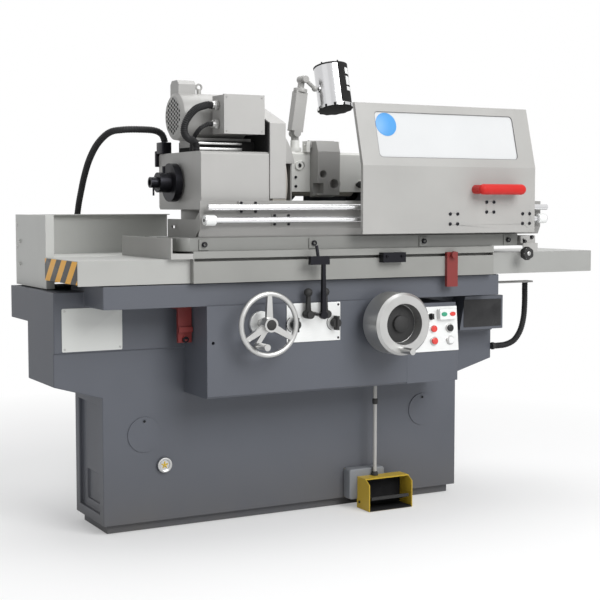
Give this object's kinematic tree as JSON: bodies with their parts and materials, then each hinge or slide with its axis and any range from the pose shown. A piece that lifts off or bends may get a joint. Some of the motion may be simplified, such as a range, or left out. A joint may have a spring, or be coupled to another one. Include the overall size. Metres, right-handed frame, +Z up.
{
  "type": "cylindrical grinder",
  "caption": "Universal cylindrical grinder with a travelling table, workhead, tailstock, wheelhead, sliding splash guard and foot switch.",
  "frame": {"origin": "centre of the plinth's underside, on the floor", "axes": "+X along the table to the operator's right, +Y from the operator to the back, +Z up"},
  "size_m": [1.891, 1.383, 1.4767],
  "materials": {
    "bed_paint": "satin",
    "light_paint": "satin",
    "machined_steel": "ground",
    "cast_handwheel": "satin",
    "control_silver": "brushed",
    "black_oxide": "oxidised",
    "black_plastic": "moulded",
    "black_rubber": "ribbed",
    "red_paint": "satin",
    "red_plastic": "gloss",
    "green_plastic": "gloss",
    "yellow_paint": "satin",
    "window": "clear",
    "chrome": "polished",
    "abrasive": "open grain"
  },
  "bodies": {
    "bed": {"bed_casting": "bed_paint", "front_fittings": "bed_paint", "apron": "bed_paint", "console_box": "bed_paint", "console_panel": "control_silver", "control_plate": "control_silver", "side_console": "bed_paint", "travel_lock_left": "red_paint", "foot_switch_guard": "yellow_paint", "coolant_hose": "black_rubber"},
    "table": {"lower_table": "light_paint", "table_cover_left": "light_paint", "table_cover_right": "light_paint", "splash_guard": "light_paint", "coolant_trough": "light_paint", "travel_lock_right": "red_paint", "swivel_bracket": "light_paint"},
    "table_wheel": {"table_handwheel": "cast_handwheel"},
    "infeed_wheel": {"infeed_handwheel": "cast_handwheel"},
    "swivel_table": {"upper_table": "light_paint", "rail_carrier": "light_paint", "guide_rails": "chrome", "workhead_base": "light_paint"},
    "workhead": {"workhead_housing": "light_paint", "workhead_motor": "light_paint", "motor_terminal_box": "light_paint", "belt_guard": "light_paint", "motor_hose": "black_rubber", "signal_hose": "black_rubber", "rear_conduit": "black_rubber"},
    "spindle": {"work_spindle": "black_oxide", "work_centre": "machined_steel"},
    "guard": {"sliding_guard": "light_paint", "guard_window": "window", "guard_handle": "red_plastic", "guard_sliders": "black_oxide"},
    "tailstock": {"tailstock_body": "light_paint"},
    "quill": {"tail_quill": "machined_steel"},
    "quill_lever": {"tail_lever": "black_oxide"},
    "dog": {"trip_dog": "black_oxide"},
    "wheelhead": {"wheelhead_slide": "bed_paint", "wheelhead_housing": "light_paint", "wheel_guard": "light_paint", "wheel_motor": "bed_paint"},
    "wheel": {"grinding_wheel": "abrasive"},
    "bracket": {"internal_bracket": "light_paint"},
    "lamp_post": {"lamp_lower_arm": "light_paint"},
    "lamp_boom": {"lamp_upper_arm": "light_paint"},
    "lamp_shade": {"lamp_head": "chrome"},
    "reverser": {"reverse_lever": "black_oxide"},
    "start": {"start_lever": "black_plastic"},
    "stop": {"stop_lever": "black_plastic"},
    "speed": {"speed_knob": "black_plastic"},
    "dwell": {"dwell_knob": "black_plastic"},
    "selector_a": {"selector_left": "black_plastic"},
    "selector_b": {"selector_right": "black_plastic"},
    "green_button": {"green_button_upper": "green_plastic"},
    "red_button": {"red_button_upper": "red_plastic"},
    "pedal": {"foot_pedal": "black_plastic"},
    "ball_lever": {"side_lever": "black_plastic"}
  },
  "joints": [
    {"name": "table_travel", "type": "slide", "parent": "bed", "child": "table", "axis": [1, 0, 0], "range_m": [-0.34, 0.03]},
    {"name": "table_wheel_turn", "type": "hinge", "parent": "bed", "child": "table_wheel", "pos_m": [-0.203, -0.72, 0.643], "axis": [0, 1, 0], "continuous": true},
    {"name": "infeed", "type": "slide", "parent": "bed", "child": "wheelhead", "axis": [0, 1, 0], "range_m": [-0.05, 0.12]},
    {"name": "infeed_wheel_turn", "type": "hinge", "parent": "bed", "child": "infeed_wheel", "pos_m": [0.236, -0.76, 0.63], "axis": [0, 1, 0], "continuous": true},
    {"name": "table_swivel", "type": "hinge", "parent": "table", "child": "swivel_table", "pos_m": [0.14893, -0.515, 0.86], "axis": [0, 0, 1], "range_deg": [-3, 3]},
    {"name": "workhead_swivel", "type": "hinge", "parent": "swivel_table", "child": "workhead", "pos_m": [-0.27907, -0.515, 0.98], "axis": [0, 0, 1], "range_deg": [-3, 3]},
    {"name": "spindle_turn", "type": "hinge", "parent": "workhead", "child": "spindle", "pos_m": [-0.3, -0.515, 1.0684], "axis": [1, 0, 0], "continuous": true},
    {"name": "guard_travel", "type": "slide", "parent": "swivel_table", "child": "guard", "axis": [1, 0, 0], "range_m": [-0.49, 0.04]},
    {"name": "tailstock_travel", "type": "slide", "parent": "swivel_table", "child": "tailstock", "axis": [1, 0, 0], "range_m": [-0.08, 0]},
    {"name": "quill_travel", "type": "slide", "parent": "tailstock", "child": "quill", "axis": [1, 0, 0], "range_m": [0, 0.03], "stiffness_N_per_m": 600, "springref_m": -0.02},
    {"name": "quill_lever_turn", "type": "hinge", "parent": "tailstock", "child": "quill_lever", "pos_m": [0.68689, -0.535, 1.13], "axis": [0, 0, 1], "range_deg": [0, 45]},
    {"name": "dog_travel", "type": "slide", "parent": "table", "child": "dog", "axis": [1, 0, 0], "range_m": [-0.18, 0.15]},
    {"name": "wheel_turn", "type": "hinge", "parent": "wheelhead", "child": "wheel", "pos_m": [0.1, -0.275, 1.0684], "axis": [1, 0, 0], "continuous": true},
    {"name": "bracket_swing", "type": "hinge", "parent": "wheelhead", "child": "bracket", "pos_m": [0.176, -0.399, 1.1984], "axis": [1, 0, 0], "range_deg": [-100, 0]},
    {"name": "lamp_turn", "type": "hinge", "parent": "wheelhead", "child": "lamp_post", "pos_m": [0.092, -0.372, 1.22], "axis": [0, 0, 1], "range_deg": [-120, 120]},
    {"name": "lamp_elbow", "type": "hinge", "parent": "lamp_post", "child": "lamp_boom", "pos_m": [0.118, -0.372, 1.416], "axis": [0, 1, 0], "range_deg": [-30, 20]},
    {"name": "lamp_tilt", "type": "hinge", "parent": "lamp_boom", "child": "lamp_shade", "pos_m": [0.155, -0.3944, 1.386], "axis": [1, 0, 0], "range_deg": [-40, 40]},
    {"name": "reverse_swing", "type": "hinge", "parent": "bed", "child": "reverser", "pos_m": [-0.016, -0.72, 0.664], "axis": [0, 1, 0], "range_deg": [-12, 12]},
    {"name": "start_swing", "type": "hinge", "parent": "bed", "child": "start", "pos_m": [-0.046, -0.71, 0.664], "axis": [0, 1, 0], "range_deg": [-20, 20]},
    {"name": "stop_swing", "type": "hinge", "parent": "bed", "child": "stop", "pos_m": [0.014, -0.71, 0.664], "axis": [0, 1, 0], "range_deg": [-20, 20]},
    {"name": "speed_turn", "type": "hinge", "parent": "bed", "child": "speed", "pos_m": [-0.0882, -0.71, 0.634], "axis": [0, 1, 0], "range_deg": [-60, 60]},
    {"name": "dwell_turn", "type": "hinge", "parent": "bed", "child": "dwell", "pos_m": [0.0542, -0.71, 0.634], "axis": [0, 1, 0], "range_deg": [-60, 60]},
    {"name": "selector_a_turn", "type": "hinge", "parent": "bed", "child": "selector_a", "pos_m": [0.36, -0.6841, 0.6355], "axis": [0, 0.9954, -0.0958], "range_deg": [-45, 45]},
    {"name": "selector_b_turn", "type": "hinge", "parent": "bed", "child": "selector_b", "pos_m": [0.426, -0.6841, 0.6355], "axis": [0, 0.9954, -0.0958], "range_deg": [-45, 45]},
    {"name": "green_press", "type": "slide", "parent": "bed", "child": "green_button", "axis": [0, 0.9954, -0.0958], "range_m": [0, 0.004], "stiffness_N_per_m": 600, "springref_m": -0.003},
    {"name": "red_press", "type": "slide", "parent": "bed", "child": "red_button", "axis": [0, 0.9954, -0.0958], "range_m": [0, 0.004], "stiffness_N_per_m": 600, "springref_m": -0.003},
    {"name": "pedal_press", "type": "hinge", "parent": "bed", "child": "pedal", "pos_m": [0.307, -0.58, 0.022], "axis": [1, 0, 0], "range_deg": [0, 12], "stiffness_Nm_per_rad": 3, "springref_deg": -8.59},
    {"name": "ball_lever_swing", "type": "hinge", "parent": "bed", "child": "ball_lever", "pos_m": [0.58, -0.56, 0.579], "axis": [0, 1, 0], "range_deg": [-35, 5]}
  ],
  "couplings": [
    {"joint": "table_wheel_turn", "follows": "table_travel", "rad_per_m": 60},
    {"joint": "infeed_wheel_turn", "follows": "infeed", "rad_per_m": -100},
    {"joint": "quill_lever_turn", "follows": "quill_travel", "rad_per_m": 23}
  ]
}
